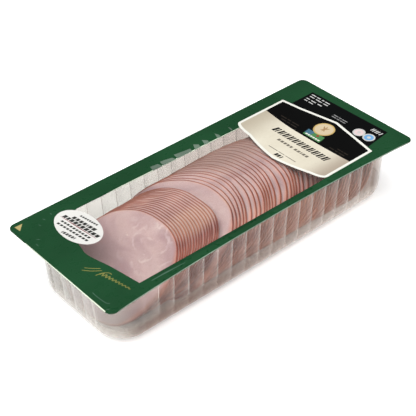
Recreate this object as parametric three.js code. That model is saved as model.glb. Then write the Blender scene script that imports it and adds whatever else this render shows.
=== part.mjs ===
// Sliced smoked ham in a clear thermoformed tray, sealed under a printed film.
// Millimetres. +X runs along the pack to the end that the shield label covers,
// +Y to its straight long side, +Z up. The origin is under the middle of the pack.

import * as THREE from 'three';

// ---- Driving dimensions ----------------------------------------------------

const packLength = 312;
const packWidth = 130;
const packCornerRadius = 6;
const nearSideBow = 4.8; // the near long edge is drawn in at mid-length

const trayDepth = 56;
const trayWall = 0.5;
const mouthLength = 297.4;
const mouthWidth = 110.2;
const mouthCornerRadius = 28;
const mouthShiftX = 1.5; // the flange is wider at the left end
const wallDraft = 0.061; // inward slope for each mm down
const floorFillet = 12.3;

const longFlutes = 17;
const endFlutes = 4;
const fluteDepth = 0.8;

const filmThickness = 0.25;
const filmGap = 0.2;
const labelThickness = 0.15;
const labelGap = 0.12;
const oval = { centreX: -115.6, centreY: 28.7, halfLength: 15.1, halfWidth: 23.9 };

// The shield lies on its side, with its tips to the left and to the right.
const shield = {
  tipY: -5,
  leftTipX: 52.2,
  rightTipX: 127.8,
  farEdgeY: 51.6,
  nearEdgeY: -53.3,
  leftCornerX: 67.5,
  rightCornerX: 118.5,
  leftShoulderX: 60, // where the slanted left sides start to turn into the long sides
  rightShoulderX: 121,
  shoulderHalfWidth: 36,
};

const sliceCount = 54;
const tightSlices = 16; // the close-packed group at the left
// roll is how much higher the far side lies and yaw how much further left, for each mm across.
const tightSlice = { length: 90, width: 94, centreY: 2, roll: 0.06, yaw: 0.06 };
const looseSlice = { length: 94, width: 100.4, centreY: 0.7, roll: 0.08, yaw: 0.05 };
const faceLift = 0.45; // from the line that a slice is bent along up to its face
const crownDrop = 2; // from the top of the film to the start of that line
const firstCrownX = -63.3;
const tightPitch = 2.57;
const groupStep = 16.6; // bare face of the slice behind the tight group
const bareSteps = [4, 5, 4.6, 3, 5, 3.6, 2.8, 4.8, 3.8, 4, 3.8, 2.8, 4.7, 5.5, 4]; // as they slid
const coveredPitch = 4.15; // for the slices under the shield label
const sliceRows = 14; // steps from a slice's top edge to its toe
const edgeUnevenness = 0.004; // share of the radius, for each of three ripples
const seed = 7;

// Soft slices fill the room up to the next one, but for a little air, so that they stay apart.
const thickestSlice = 2;
const filledShare = 0.8; // of the room square to the slice
const airMargin = 0.2;

// How full a slice is between its top edge and its widest part: 1 is a circle, less is
// fuller. It swings about its mean from slice to slice and is lowest at slice fullestAt.
const tightShoulders = {
  near: { mean: 0.65, swing: 0.05, period: 30, fullestAt: 15 },
  far: { mean: 1, swing: 0.05, period: 30, fullestAt: 15 },
};
const looseShoulders = {
  near: { mean: 0.93, swing: 0.16, period: 7.4, fullestAt: 16 },
  far: { mean: 0.9, swing: 0.25, period: 28, fullestAt: 30.5 },
};
// The same for the near side's lower quarter, which spreads out on the tray's floor.
const tightFoot = { first: 0.45, last: 0.45 };
const looseFoot = { first: 0.35, last: 0.8 };

// How far a slice leans from the floor, in degrees, at its top edge and its toe,
// for the first and the last slice of each group.
const tightLean = { topFirst: 39, toeFirst: 28, topLast: 37, toeLast: 29 };
const looseLean = { topFirst: 27, toeFirst: 37, topLast: 52, toeLast: 15 };

const filmTop = trayDepth + filmGap + filmThickness;

// ---- Colours ---------------------------------------------------------------

const clearPlastic = { color: 0xd9dcd4, roughness: 0.15, metalness: 0 };
const greenFilm = { color: 0x1f492c, roughness: 0.35, metalness: 0 };
const labelPaper = { color: 0xddd6c0, roughness: 0.45, metalness: 0 };
const hamMeat = { color: 0xc9a3a0, roughness: 0.5, metalness: 0 };

// ---- Helpers ---------------------------------------------------------------

const lerp = (a, b, t) => a + (b - a) * t;

function seededRandom(start) {
  let state = start;
  return () => {
    state = (state * 16807) % 2147483647;
    return state / 2147483647;
  };
}

function closedBody(positions, triangles) {
  const geometry = new THREE.BufferGeometry();
  geometry.setAttribute('position', new THREE.Float32BufferAttribute(positions.flat(), 3));
  geometry.setIndex(triangles.flat());
  return geometry;
}

function namedMesh(name, geometry, finish) {
  const mesh = new THREE.Mesh(geometry, new THREE.MeshStandardMaterial(finish));
  mesh.name = name;
  return mesh;
}

// ---- Outlines --------------------------------------------------------------

const stepsPerFlute = 3;
const stepsPerCorner = 6;
const curveSteps = 8;

// Walks once round a rounded rectangle, anticlockwise from the near left corner.
// Every outline has the same number of points, so two of them can be joined.
// flute is how deep the creases between neighbouring flutes cut in.
function roundedOutline({ length, width, radius, shiftX = 0, bow = 0, flute = 0 }) {
  const halfX = length / 2 - radius;
  const halfY = width / 2 - radius;
  const sides = [
    { from: [-halfX, -halfY], to: [halfX, -halfY], out: [0, -1], flutes: longFlutes },
    { from: [halfX, -halfY], to: [halfX, halfY], out: [1, 0], flutes: endFlutes },
    { from: [halfX, halfY], to: [-halfX, halfY], out: [0, 1], flutes: longFlutes },
    { from: [-halfX, halfY], to: [-halfX, -halfY], out: [-1, 0], flutes: endFlutes },
  ];
  const points = [];
  for (const { from, to, out, flutes } of sides) {
    const steps = flutes * stepsPerFlute;
    for (let step = 0; step <= steps; step += 1) {
      const t = step / steps;
      const atCorner = step === 0 || step === steps;
      const swell = atCorner ? 1 : Math.sin((Math.PI * (step % stepsPerFlute)) / stepsPerFlute);
      const reach = radius - flute * (1 - swell);
      points.push([lerp(from[0], to[0], t) + out[0] * reach, lerp(from[1], to[1], t) + out[1] * reach]);
    }
    const startAngle = Math.atan2(out[1], out[0]);
    for (let step = 1; step < stepsPerCorner; step += 1) {
      const angle = startAngle + ((Math.PI / 2) * step) / stepsPerCorner;
      points.push([to[0] + radius * Math.cos(angle), to[1] + radius * Math.sin(angle)]);
    }
  }
  return points.map(([x, y]) => {
    const alongPack = Math.min(1, Math.abs(x) / halfX);
    const drawnIn = y < 0 ? bow * (1 - alongPack ** 2) : 0;
    return [x + shiftX, y + drawnIn];
  });
}

function lidOutline() {
  return roundedOutline({ length: packLength, width: packWidth, radius: packCornerRadius, bow: nearSideBow });
}

// ---- Tray ------------------------------------------------------------------

// The tray wall at a height, taken in by inset: inset 0 is its outer face.
function trayRing(height, inset) {
  const floorLift = height - inset;
  const aboveFillet = Math.max(0, floorFillet - inset - floorLift);
  const filletRadius = floorFillet - inset;
  const filletInset = filletRadius - Math.sqrt(filletRadius ** 2 - aboveFillet ** 2);
  const drawn = inset + (trayDepth - height) * wallDraft + filletInset;
  const outline = roundedOutline({
    length: mouthLength - 2 * drawn,
    width: mouthWidth - 2 * drawn,
    radius: mouthCornerRadius - drawn,
    shiftX: mouthShiftX,
    flute: fluteDepth * (1 - aboveFillet / floorFillet),
  });
  return outline.map(([x, y]) => [x, y, height]);
}

// Joins rings of equal length into a skin and closes both ends with a fan.
function ringSkin(rings) {
  const count = rings[0].length;
  const positions = rings.flat();
  const triangles = [];
  for (let ring = 0; ring < rings.length - 1; ring += 1) {
    for (let step = 0; step < count; step += 1) {
      const a = ring * count + step;
      const b = ring * count + ((step + 1) % count);
      triangles.push([a, b, b + count], [a, b + count, a + count]);
    }
  }
  for (const end of [0, rings.length - 1]) {
    const hub = positions.length;
    positions.push([mouthShiftX, 0, rings[end][0][2]]);
    for (let step = 0; step < count; step += 1) {
      const a = end * count + step;
      const b = end * count + ((step + 1) % count);
      triangles.push(end === 0 ? [b, a, hub] : [a, b, hub]);
    }
  }
  return closedBody(positions, triangles);
}

function tray() {
  const filletSteps = [0, 0.12, 0.4, 1]; // shares of the fillet's height, closer where it turns fastest
  const outerWall = filletSteps.map((t) => trayRing(t * floorFillet, 0));
  const flangeUnder = trayDepth - trayWall;
  const flangeEdge = (height) => lidOutline().map(([x, y]) => [x, y, height]);
  const innerWall = filletSteps.map((t) => trayRing(lerp(trayWall, floorFillet, t), trayWall)).reverse();
  return ringSkin([
    ...outerWall,
    trayRing(flangeUnder, 0),
    flangeEdge(flangeUnder),
    flangeEdge(trayDepth),
    trayRing(trayDepth, trayWall),
    ...innerWall,
  ]);
}

// ---- Film and labels -------------------------------------------------------

function plate(shape, thickness, height) {
  const options = { depth: thickness, bevelEnabled: false, curveSegments: curveSteps };
  return new THREE.ExtrudeGeometry(shape, options).translate(0, 0, height);
}

function film() {
  const shape = new THREE.Shape(lidOutline().map(([x, y]) => new THREE.Vector2(x, y)));
  return plate(shape, filmThickness, trayDepth + filmGap);
}

function shieldLabel() {
  const { tipY, leftTipX, rightTipX, farEdgeY, nearEdgeY } = shield;
  const { leftCornerX, rightCornerX, leftShoulderX, rightShoulderX, shoulderHalfWidth } = shield;
  const bulge = (leftShoulderX - leftTipX) / 4; // keeps the left sides a little full
  const halfway = shoulderHalfWidth / 2;
  const shape = new THREE.Shape();
  shape.moveTo(leftTipX, tipY);
  shape.quadraticCurveTo(leftTipX + bulge, tipY - halfway, leftShoulderX, tipY - shoulderHalfWidth);
  shape.quadraticCurveTo(leftShoulderX + bulge, nearEdgeY, leftCornerX, nearEdgeY);
  shape.lineTo(rightCornerX, nearEdgeY);
  shape.lineTo(rightShoulderX, tipY - shoulderHalfWidth);
  shape.lineTo(rightTipX, tipY);
  shape.lineTo(rightShoulderX, tipY + shoulderHalfWidth);
  shape.lineTo(rightCornerX, farEdgeY);
  shape.lineTo(leftCornerX, farEdgeY);
  shape.quadraticCurveTo(leftShoulderX + bulge, farEdgeY, leftShoulderX, tipY + shoulderHalfWidth);
  shape.quadraticCurveTo(leftTipX + bulge, tipY + halfway, leftTipX, tipY);
  return plate(shape, labelThickness, filmTop + labelGap);
}

function ovalLabel() {
  const shape = new THREE.Shape();
  shape.absellipse(oval.centreX, oval.centreY, oval.halfLength, oval.halfWidth, 0, 2 * Math.PI);
  return plate(shape, labelThickness, filmTop + labelGap);
}

// ---- Ham -------------------------------------------------------------------

// How far a slice's top edge lies behind the one before.
function stepTo(index) {
  if (index === 0) return 0;
  if (index < tightSlices) return tightPitch;
  if (index === tightSlices) return groupStep;
  return bareSteps[index - tightSlices - 1] ?? coveredPitch;
}

function shoulderAt(index, { mean, swing, period, fullestAt }) {
  return mean - swing * Math.cos((2 * Math.PI * (index - fullestAt)) / period);
}

// The thickness of a slice where it leans by so many degrees, with the next one a step behind.
function thicknessFor(step, lean) {
  const room = step * Math.sin(THREE.MathUtils.degToRad(lean));
  return Math.min(thickestSlice, filledShare * room - airMargin);
}

// Where each slice's top edge lies, how it leans, its size, thickness and shoulders.
function slicePlans() {
  const plans = [];
  let crownX = firstCrownX;
  for (let index = 0; index < sliceCount; index += 1) {
    const tight = index < tightSlices;
    const lean = tight ? tightLean : looseLean;
    const shoulders = tight ? tightShoulders : looseShoulders;
    const foot = tight ? tightFoot : looseFoot;
    const t = tight ? index / (tightSlices - 1) : (index - tightSlices) / (sliceCount - 1 - tightSlices);
    const leanShare = tight ? t : t ** 2; // only the last slices climb the end wall
    const leanTop = lerp(lean.topFirst, lean.topLast, leanShare);
    const leanToe = lerp(lean.toeFirst, lean.toeLast, leanShare);
    crownX += stepTo(index);
    plans.push({
      crownX,
      size: tight ? tightSlice : looseSlice,
      leanTop,
      leanToe,
      thicknessTop: thicknessFor(stepTo(index + 1), leanTop),
      thicknessToe: thicknessFor(stepTo(index + 1), leanToe),
      nearShoulder: shoulderAt(index, shoulders.near),
      farShoulder: shoulderAt(index, shoulders.far),
      nearFoot: lerp(foot.first, foot.last, t),
    });
  }
  return plans;
}

// A roundish slice bent about the Y axis. Its rows run from the top edge to the toe.
function slice(plan, random) {
  const { crownX, size, leanTop, leanToe, nearShoulder, farShoulder, nearFoot } = plan;
  const crown = new THREE.Vector3(crownX, size.centreY, filmTop - crownDrop);
  const ripples = [2, 3, 5].map((waves) => ({ waves, phase: 2 * Math.PI * random() }));
  const fullness = (angle) => {
    const upper = Math.abs(angle) < Math.PI / 2;
    if (angle < 0) return upper ? nearShoulder : nearFoot;
    return upper ? farShoulder : 1;
  };
  const halfWidth = (angle) => {
    const unevenness = ripples.reduce((sum, { waves, phase }) => sum + Math.cos(waves * angle + phase), 0);
    const share = Math.sin(Math.abs(angle)) ** fullness(angle);
    return (size.width / 2) * share * (1 + edgeUnevenness * unevenness);
  };
  const leanAt = (distance) => THREE.MathUtils.degToRad(lerp(leanTop, leanToe, distance / size.length));

  const positions = [];
  let x = crown.x;
  let z = crown.z;
  let travelled = 0;
  for (let row = 0; row <= sliceRows; row += 1) {
    const angle = (Math.PI * row) / sliceRows;
    const distance = (size.length / 2) * (1 - Math.cos(angle));
    const middleLean = leanAt((distance + travelled) / 2);
    x -= (distance - travelled) * Math.cos(middleLean);
    z -= (distance - travelled) * Math.sin(middleLean);
    travelled = distance;
    const across = Math.sin(leanAt(distance));
    const upright = Math.cos(leanAt(distance));
    const backDrop = lerp(plan.thicknessTop, plan.thicknessToe, distance / size.length) - faceLift;
    const single = row === 0 || row === sliceRows;
    const edges = single ? [0] : [-halfWidth(-angle), halfWidth(angle)];
    for (const y of edges) {
      const edgeX = x - size.yaw * y;
      const edgeZ = z + size.roll * Math.sin(angle) * y;
      positions.push([edgeX - across * faceLift, crown.y + y, edgeZ + upright * faceLift]);
      positions.push([edgeX + across * backDrop, crown.y + y, edgeZ - upright * backDrop]);
    }
  }
  return closedBody(positions, sliceTriangles());
}

// Corners come in pairs, face then back. The top edge and the toe have one pair,
// every row between them has a near pair and a far pair.
function sliceTriangles() {
  const near = [];
  const far = [];
  for (let row = 0; row <= sliceRows; row += 1) {
    const single = row === 0 || row === sliceRows;
    near.push(row === 0 ? 0 : 4 * row - 2);
    far.push(near[row] + (single ? 0 : 2));
  }
  const triangles = [];
  for (let row = 0; row < sliceRows; row += 1) {
    const [a, b, c, d] = [near[row], far[row], far[row + 1], near[row + 1]];
    if (row > 0) triangles.push([a, b, c], [a + 1, c + 1, b + 1]);
    if (row < sliceRows - 1) triangles.push([a, c, d], [a + 1, d + 1, c + 1]);
    if (row === sliceRows - 1) continue;
    triangles.push([a, d, d + 1], [a, d + 1, a + 1], [c, b, b + 1], [c, b + 1, c + 1]);
  }
  const last = sliceRows - 1;
  const toe = near[sliceRows];
  triangles.push([near[last], toe, toe + 1], [near[last], toe + 1, near[last] + 1]);
  triangles.push([toe, far[last], far[last] + 1], [toe, far[last] + 1, toe + 1]);
  return triangles;
}

// ---- Assembly --------------------------------------------------------------

const pack = new THREE.Group();
pack.add(namedMesh('tray', tray(), clearPlastic));

const random = seededRandom(seed);
slicePlans().forEach((plan, index) => {
  const number = String(index + 1).padStart(2, '0');
  pack.add(namedMesh(`ham_slice_${number}`, slice(plan, random), hamMeat));
});

pack.add(namedMesh('lid_film', film(), greenFilm));
pack.add(namedMesh('shield_label', shieldLabel(), labelPaper));
pack.add(namedMesh('oval_label', ovalLabel(), labelPaper));

export default pack;
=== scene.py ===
# %% [markdown]
# # A pack of sliced smoked ham
#
# The real object is a shallow clear tray with fluted walls, pressed from one warm sheet of
# plastic. Fifty-four round slices of smoked ham lie in it like fallen dominoes. A dark
# green printed film is sealed over it, with a clear window and two labels.
#
# The solids of the pack come ready made, and they say where everything is. This lesson
# dresses them: each piece is built again with its real edges, ripples and print, and gets
# a finish that Blender works out from noise and from numbers kept on the mesh.

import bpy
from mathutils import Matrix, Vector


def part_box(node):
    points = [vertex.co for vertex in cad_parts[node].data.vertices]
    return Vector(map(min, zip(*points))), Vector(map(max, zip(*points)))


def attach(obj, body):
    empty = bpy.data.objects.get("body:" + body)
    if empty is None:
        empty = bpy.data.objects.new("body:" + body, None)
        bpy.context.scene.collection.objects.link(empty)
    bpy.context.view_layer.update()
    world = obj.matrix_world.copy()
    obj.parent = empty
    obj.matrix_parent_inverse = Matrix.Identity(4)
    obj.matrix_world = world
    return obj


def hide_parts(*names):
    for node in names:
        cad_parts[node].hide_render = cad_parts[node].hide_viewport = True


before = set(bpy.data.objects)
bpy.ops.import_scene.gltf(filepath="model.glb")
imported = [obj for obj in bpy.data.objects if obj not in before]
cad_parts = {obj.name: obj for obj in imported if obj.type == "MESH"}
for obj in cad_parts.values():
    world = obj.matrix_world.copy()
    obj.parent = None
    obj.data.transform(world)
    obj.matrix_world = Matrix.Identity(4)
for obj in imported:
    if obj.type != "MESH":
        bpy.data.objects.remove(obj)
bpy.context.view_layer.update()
print("solids:", len(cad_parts))

# %% Tools, units and the few sizes that everything hangs on
import math

import bpy
import numpy as np
from mathutils import Matrix, Vector
from mathutils.geometry import delaunay_2d_cdt

MM = 0.001  # the pack is measured in millimetres, and Blender works in metres

film_low, film_high = (np.array(corner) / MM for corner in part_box("lid_film"))
film_top = film_high[2]
film_thickness = film_high[2] - film_low[2]
lid_length = film_high[0] - film_low[0]
lid_width = film_high[1] - film_low[1]
print(f"lid {lid_length:.1f} x {lid_width:.1f} mm, film top at {film_top:.2f} mm")

# %% [markdown]
# ## From numbers to a mesh
#
# A mesh is a list of points and a list of faces that name their corners. Every piece here
# is worked out in millimetres and handed to this one helper, which turns it into an object.
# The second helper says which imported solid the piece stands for. Making the piece from
# numbers keeps it exactly where the pack needs it, which sculpting by hand would not.

# %% Helpers that make a piece
def make_piece(name, points, faces, finishes, finish_of_face=None, sharp_above=30):
    """A mesh object from points in millimetres, with its finishes."""
    mesh = bpy.data.meshes.new(name)
    mesh.from_pydata((np.asarray(points) * MM).tolist(), [], faces)
    for finish in finishes:
        mesh.materials.append(finish)
    if finish_of_face is not None:
        mesh.polygons.foreach_set("material_index", finish_of_face)
    mesh.polygons.foreach_set("use_smooth", [True] * len(faces))
    mesh.update()
    mesh.set_sharp_from_angle(angle=math.radians(sharp_above))
    piece = bpy.data.objects.new(name, mesh)
    bpy.context.scene.collection.objects.link(piece)
    return piece


def store(piece, name, values):
    """Keep one number or one vector for each point of a piece, for its finish to read."""
    values = np.asarray(values, dtype=float)
    kind, field = ("FLOAT", "value") if values.ndim == 1 else ("FLOAT_VECTOR", "vector")
    layer = piece.data.attributes.new(name, kind, "POINT")
    layer.data.foreach_set(field, values.ravel())


def stands_for(piece, node):
    """The piece moves with the pack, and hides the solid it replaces."""
    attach(piece, "root")
    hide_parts(node)


# %% [markdown]
# ## A small kit for finishes
#
# A finish is a tree of nodes. These helpers add a node, link it and give it its values in
# one line, so that each finish below reads as a short recipe. Colours are written as they
# look on a screen, from 0 to 255, and `ink` turns them into the light that Blender uses.

# %% Helpers that make a finish
def ink(red, green, blue):
    """A screen colour as linear light."""
    shares = [channel / 255 for channel in (red, green, blue)]
    light = [s / 12.92 if s <= 0.04045 else ((s + 0.055) / 1.055) ** 2.4 for s in shares]
    return (*light, 1.0)


def set_inputs(tree, node, values):
    """Set a node's inputs to numbers, or link them to other nodes' outputs."""
    for socket, value in values.items():
        if isinstance(value, bpy.types.NodeSocket):
            tree.links.new(value, node.inputs[socket])
        else:
            node.inputs[socket].default_value = value
    return node


def add(tree, kind, values=None, **choices):
    """A new node with its choices made and its inputs filled."""
    node = tree.nodes.new("ShaderNode" + kind)
    for choice, value in choices.items():
        setattr(node, choice, value)
    return set_inputs(tree, node, values or {})


def new_finish(name):
    """An empty finish: the material, its node tree and its main shader."""
    finish = bpy.data.materials.new(name)
    finish.use_nodes = True
    tree = finish.node_tree
    return finish, tree, tree.nodes["Principled BSDF"]


# %% Helpers for patterns and colours
def place_on_pack(tree):
    """Where a point of the surface lies on the pack, in metres."""
    return add(tree, "TexCoord").outputs["Object"]


def stored(tree, name, output="Fac"):
    return add(tree, "Attribute", attribute_name=name).outputs[output]


def noise(tree, place, scale, detail=2.0, distortion=0.0):
    values = {"Vector": place, "Scale": scale, "Detail": detail, "Distortion": distortion}
    return add(tree, "TexNoise", values).outputs["Fac"]


def between(tree, value, low, high, to_low=0.0, to_high=1.0):
    """Stretch a value, so that low becomes to_low and high becomes to_high."""
    values = {"Value": value, "From Min": low, "From Max": high}
    values.update({"To Min": to_low, "To Max": to_high})
    return add(tree, "MapRange", values, interpolation_type="SMOOTHSTEP").outputs["Result"]


def calculate(tree, operation, first, second):
    return add(tree, "Math", {0: first, 1: second}, operation=operation).outputs[0]


def mix_colours(tree, share, first, second):
    """Some of the first colour and some of the second: share 0 is all of the first."""
    return add(tree, "Mix", {0: share, 6: first, 7: second}, data_type="RGBA").outputs[2]


def bump(tree, height, distance, strength=0.5):
    values = {"Height": height, "Distance": distance, "Strength": strength}
    return add(tree, "Bump", values).outputs["Normal"]


# %% [markdown]
# ## The camera
#
# The camera stands where it sees the pack from the same side as the photograph does: over
# the near long side, turned to the left end, and looking down at 38 degrees. A long lens
# keeps the far end of the pack nearly as large as the near end. The camera is put on a
# sphere round a point on the lid, which is easier to steer than three separate angles.

# %% Put up the camera
azimuth = math.radians(-39.62)
elevation = math.radians(38.28)
roll = math.radians(-1.73)
camera_distance = 854.9
looks_at = Vector((-28.5, -19.5, film_top))
focal_length = 96.7

backward = Vector((
    math.sin(azimuth) * math.cos(elevation),
    -math.cos(azimuth) * math.cos(elevation),
    math.sin(elevation),
))
level_right = Vector((math.cos(azimuth), math.sin(azimuth), 0))
level_up = backward.cross(level_right)
right = level_right * math.cos(roll) + level_up * math.sin(roll)
up = level_up * math.cos(roll) - level_right * math.sin(roll)

lens = bpy.data.cameras.new("camera")
lens.lens = focal_length
lens.sensor_width = 36
camera = bpy.data.objects.new("camera", lens)
turn = Matrix((right, up, backward)).transposed().to_4x4()
camera.matrix_world = Matrix.Translation((looks_at + backward * camera_distance) * MM) @ turn
bpy.context.scene.collection.objects.link(camera)
bpy.context.scene.camera = camera
print("camera at", [round(n, 3) for n in camera.matrix_world.translation])

# %% [markdown]
# ## Floor and light
#
# The pack stands on white, in the even light of a product studio. The floor glows a little
# itself, like a light table, so that hardly any shadow is left on it. A wide soft lamp hangs
# overhead, and weaker ones fill the four sides from low down. Nothing bright hangs in the
# direction that the flat lid mirrors to the camera, or the dark print would turn grey.

# %% Lay the floor
def floor_finish():
    finish, tree, shader = new_finish("white_paper_floor")
    mottle = noise(tree, place_on_pack(tree), 9.0)
    white = mix_colours(tree, mottle, (0.93, 0.93, 0.93, 1), (0.95, 0.95, 0.95, 1))
    set_inputs(tree, shader, {"Base Color": white, "Roughness": 0.9, "Specular IOR Level": 0.1})
    set_inputs(tree, shader, {"Emission Color": white, "Emission Strength": 0.3})
    return finish


floor_half = 3000
corners = [(-1, -1), (1, -1), (1, 1), (-1, 1)]
floor_points = [(floor_half * x, floor_half * y, 0) for x, y in corners]
floor = make_piece("studio_floor", floor_points, [(0, 1, 2, 3)], [floor_finish()])

# %% Hang the lamps
def soft_lamp(name, place, aim, width, height, power):
    """A rectangle of light at place, in metres, turned to face aim."""
    light = bpy.data.lights.new(name, "AREA")
    light.shape = "RECTANGLE"
    light.size = width
    light.size_y = height
    light.energy = power
    lamp = bpy.data.objects.new(name, light)
    lamp.location = place
    lamp.rotation_euler = (Vector(aim) - Vector(place)).to_track_quat("-Z", "Y").to_euler()
    bpy.context.scene.collection.objects.link(lamp)
    return lamp


lamps = [
    soft_lamp("overhead_lamp", (-0.25, -0.15, 1.5), (0, 0, 0), 2.2, 1.6, 40),
    soft_lamp("near_side_lamp", (-0.3, -1.5, 0.55), (0, 0, 0.03), 1.6, 0.8, 4),
    soft_lamp("left_end_lamp", (-1.5, -0.2, 0.5), (-0.1, 0, 0.03), 0.9, 0.7, 6),
    soft_lamp("far_side_lamp", (-0.7, 1.5, 0.34), (0, 0, 0.03), 1.0, 0.5, 3),
    soft_lamp("right_end_lamp", (1.6, -0.5, 0.34), (0.1, 0, 0.03), 0.8, 0.5, 3),
]
print("lamps:", len(lamps), "with", sum(lamp.data.energy for lamp in lamps), "W in all")

# %% Fill the air with a dim white
world = bpy.data.worlds.new("studio_air")
world.use_nodes = True
air = world.node_tree
background = set_inputs(air, air.nodes["Background"], {"Color": (1, 1, 1, 1), "Strength": 0.16})
bpy.context.scene.world = world
bpy.context.scene.view_settings.view_transform = "Standard"
print("strength of the air:", round(background.inputs["Strength"].default_value, 2))

# %% [markdown]
# ## The outline of tray and lid
#
# Tray and lid share one kind of outline, a rounded rectangle walked once round. Along its
# straight sides the tray wall is pressed into flutes: shallow panels that swell outwards,
# with a sharp crease between each two. The creases make a thin sheet stiff. The walk
# notes which points are on a crease and how far across its panel each one lies, for the
# finish to catch the light there.

# %% Walk round a rounded rectangle
LONG_FLUTES = 17
END_FLUTES = 4
STEPS_PER_FLUTE = 12
STEPS_PER_CORNER = 14
PANEL_FULLNESS = 0.6  # below 1 the panels are flat in the middle and the creases sharp


def rounded_outline(length, width, radius, shift_x=0.0, bow=0.0, flute=0.0):
    """Points once round, how much each is a crease, and how far across its panel it is."""
    half_x = length / 2 - radius
    half_y = width / 2 - radius
    near_left, near_right = (-half_x, -half_y), (half_x, -half_y)
    far_right, far_left = (half_x, half_y), (-half_x, half_y)
    sides = [
        (near_left, near_right, (0, -1), LONG_FLUTES),
        (near_right, far_right, (1, 0), END_FLUTES),
        (far_right, far_left, (0, 1), LONG_FLUTES),
        (far_left, near_left, (-1, 0), END_FLUTES),
    ]
    points = []
    creases = []
    panels = []
    for start, end, out, flutes in sides:
        steps = flutes * STEPS_PER_FLUTE
        for step in range(steps + 1):
            share = step / steps
            in_flute = (step % STEPS_PER_FLUTE) / STEPS_PER_FLUTE
            at_corner = step in (0, steps)
            swell = 1 if at_corner else math.sin(math.pi * in_flute) ** PANEL_FULLNESS
            reach = radius - flute * (1 - swell)
            points.append([
                start[0] + (end[0] - start[0]) * share + out[0] * reach,
                start[1] + (end[1] - start[1]) * share + out[1] * reach,
            ])
            creases.append(1.0 if in_flute == 0 and not at_corner else 0.0)
            panels.append(in_flute)
        start_angle = math.atan2(out[1], out[0])
        for step in range(1, STEPS_PER_CORNER):
            angle = start_angle + math.pi / 2 * step / STEPS_PER_CORNER
            points.append([end[0] + radius * math.cos(angle), end[1] + radius * math.sin(angle)])
            creases.append(0.0)
            panels.append(0.0)
    points = np.array(points)
    along = np.minimum(1, np.abs(points[:, 0]) / half_x)
    points[:, 1] += np.where(points[:, 1] < 0, bow * (1 - along ** 2), 0)
    points[:, 0] += shift_x
    return points, np.array(creases), np.array(panels)


LID_CORNER_RADIUS = 6
NEAR_SIDE_BOW = 4.8
lid_outline, _, _ = rounded_outline(lid_length, lid_width, LID_CORNER_RADIUS, bow=NEAR_SIDE_BOW)
print("points round the lid:", len(lid_outline))

# %% [markdown]
# ## Clear plastic
#
# Thin clear sheet is mostly nothing: light goes through, a little is mirrored, more so at a
# slant, and a trace is scattered as a pale haze. Real glass shaders would need many more
# light rays for the same look, so this finish mixes three simple shaders instead. The
# mirrored share is a few per cent head on and grows with the fifth power of the slant, which
# is Schlick's rule. Blender's Fresnel node knows it too, but it takes the far face of a
# sheet for the inside of solid glass and makes it a full mirror. The share is kept under
# plastic's real 4%, or the white floor would wash out the meat. The haze grows at creases,
# as a painted highlight where they catch the light, and towards the right of each panel, as
# painted light where it turns to the lamps, and in the foot, where the sheet was stretched.
# The meat smears the near wall brown where it is pressed against it. Low down the haze is
# painted brown, most at the left end, as painted shade of the dim tray floor under the meat.
# The far wall and the right end get a darker tint, painted shade that keeps the bright
# floor behind them from glaring.

# %% A clear sheet
def clear_sheet(tree, tint, gloss_roughness, normal, head_on):
    """Transparent, with a mirror share that starts at head_on and grows with the slant."""
    seen_through = add(tree, "BsdfTransparent", {"Color": tint})
    mirror = {"Color": (1, 1, 1, 1), "Roughness": gloss_roughness, "Normal": normal}
    gloss = add(tree, "BsdfAnisotropic", mirror)
    slant = add(tree, "LayerWeight", {"Blend": 0.5, "Normal": normal}).outputs["Facing"]
    steep = calculate(tree, "POWER", slant, 5.0)
    share = calculate(tree, "MULTIPLY_ADD", steep, 1 - head_on)
    share.node.inputs[2].default_value = head_on
    shares = {0: share, 1: seen_through.outputs[0], 2: gloss.outputs[0]}
    return add(tree, "MixShader", shares).outputs[0]


# %% The haze of the tray
def tray_haze(tree, x, z, crease, ripples):
    """How milky the sheet is: more at a crease and towards the right of each panel, both painted
    highlight, and in the foot, at the left end and low down.
    """
    haze = between(tree, ripples, 0.35, 0.7, 0.015, 0.045)
    # More haze low down, which haze_colour paints brown as shade under the meat.
    low_down = between(tree, z, 0.024, 0.008, 0.0, 0.34)
    for more in (
        # Painted highlight on the creases, and painted light on the side of each panel that turns to the
        # lamps.
        between(tree, crease, 0.45, 1.0, 0.0, 0.3),
        between(tree, stored(tree, "panel"), 0.3, 0.95, 0.0, 0.05),
        between(tree, stored(tree, "foot"), 0.0, 1.0, 0.0, 0.1),
        between(tree, x, -0.12, -0.145, 0.0, 0.14),
        low_down,
    ):
        haze = calculate(tree, "ADD", haze, more)
    return haze, low_down


def haze_colour(tree, x, y, crease, streaks, low_down):
    """Off-white, smeared brown where the meat lies against it, and painted brown low down as shade under
    the meat.
    """
    milky = mix_colours(tree, streaks, ink(226, 221, 213), ink(236, 232, 225))
    smeared = between(tree, crease, 0.9, 0.3, 0.0, 0.9)
    for by_meat in (
        between(tree, y, -0.03, -0.044),
        between(tree, x, -0.118, -0.1),
        between(tree, x, 0.138, 0.13),
    ):
        smeared = calculate(tree, "MULTIPLY", smeared, by_meat)
    milky = mix_colours(tree, smeared, milky, ink(194, 154, 138))
    # Painted shade low down: the haze turns brown there for the dim tray floor under the meat, most at
    # the left end.
    low_shade_colour = mix_colours(tree, between(tree, x, -0.08, 0.13), ink(138, 100, 80), ink(230, 218, 208))
    low_shade_colour = mix_colours(tree, between(tree, x, -0.115, -0.14), low_shade_colour, ink(222, 216, 208))
    return mix_colours(tree, between(tree, low_down, 0.0, 0.2, 0.0, 0.95), milky, low_shade_colour)


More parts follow.
